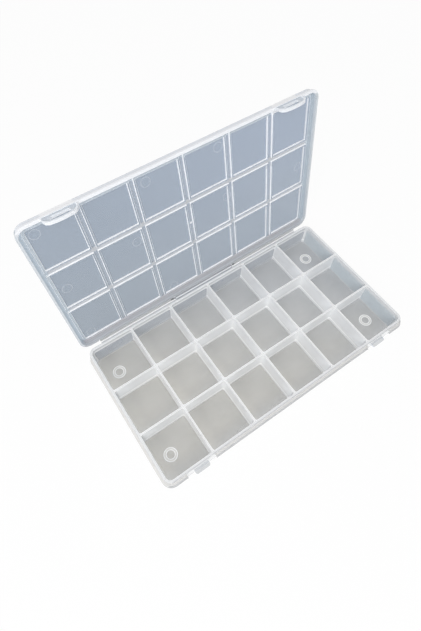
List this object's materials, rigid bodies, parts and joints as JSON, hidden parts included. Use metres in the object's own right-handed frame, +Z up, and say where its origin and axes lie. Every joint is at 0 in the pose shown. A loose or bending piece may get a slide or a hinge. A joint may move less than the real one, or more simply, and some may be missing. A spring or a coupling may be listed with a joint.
{
  "type": "jewelry organizer box",
  "caption": "Clear plastic organizer box with a grid of compartments, a hinged lid and two snap latches.",
  "frame": {"origin": "on the table, under the middle of the open box's outline", "axes": "+X along the hinge, +Y from the latch side to the hinge side, +Z up"},
  "size_m": [0.23, 0.1558, 0.1436],
  "materials": {
    "clear_plastic": "clear, faintly milky injection-moulded plastic with bright edges"
  },
  "bodies": {
    "tray": {"tray": "clear_plastic"},
    "lid": {"lid": "clear_plastic"},
    "left_latch": {"left_latch": "clear_plastic"},
    "right_latch": {"right_latch": "clear_plastic"}
  },
  "joints": [
    {"name": "lid_hinge", "type": "hinge", "parent": "tray", "child": "lid", "pos_m": [0, 0.04866, 0.01825], "axis": [1, 0, 0], "range_deg": [0, 100.8]},
    {"name": "left_latch_flex", "type": "hinge", "parent": "lid", "child": "left_latch", "pos_m": [-0.0859, 0.07123, 0.14056], "axis": [-1, 0, 0], "range_deg": [0, 32], "stiffness_Nm_per_rad": 0.03},
    {"name": "right_latch_flex", "type": "hinge", "parent": "lid", "child": "right_latch", "pos_m": [0.0859, 0.07123, 0.14056], "axis": [-1, 0, 0], "range_deg": [0, 32], "stiffness_Nm_per_rad": 0.03}
  ]
}
